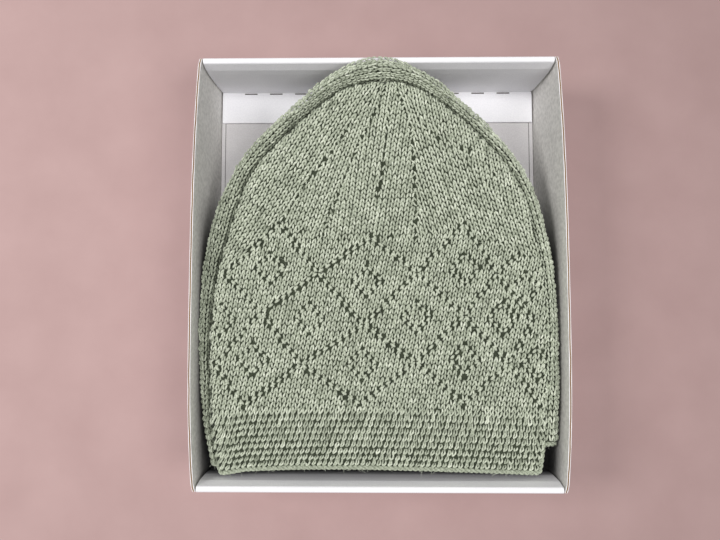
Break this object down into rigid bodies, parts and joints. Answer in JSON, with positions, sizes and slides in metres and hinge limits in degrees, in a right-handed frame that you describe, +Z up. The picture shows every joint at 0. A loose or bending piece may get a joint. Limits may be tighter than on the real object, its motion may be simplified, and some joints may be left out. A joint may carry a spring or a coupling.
{
  "type": "knitted kufi cap in an open paperboard tray",
  "caption": "Brimless knitted lace kufi with a ridged band, folded and lying flat in an open white paperboard tray",
  "frame": {"origin": "middle of the tray's underside, on the surface it stands on", "axes": "+Z up, +Y along the tray toward the kufi's crown, +X to the right seen from above with the crown at the top"},
  "size_m": [0.2226, 0.2564, 0.0537],
  "materials": {
    "board_white": "smooth white-faced board with a brown core at its cut edges",
    "board_grey": "plain light grey board, faintly mottled",
    "yarn_sage": "soft sage green knitted yarn, matte"
  },
  "bodies": {
    "root": {"tray_floor": "board_grey", "tray_side_left": "board_white", "tray_side_right": "board_white", "tray_end_far": "board_white", "tray_end_near": "board_white", "kufi_crown": "yarn_sage", "kufi_band": "yarn_sage"}
  },
  "joints": []
}
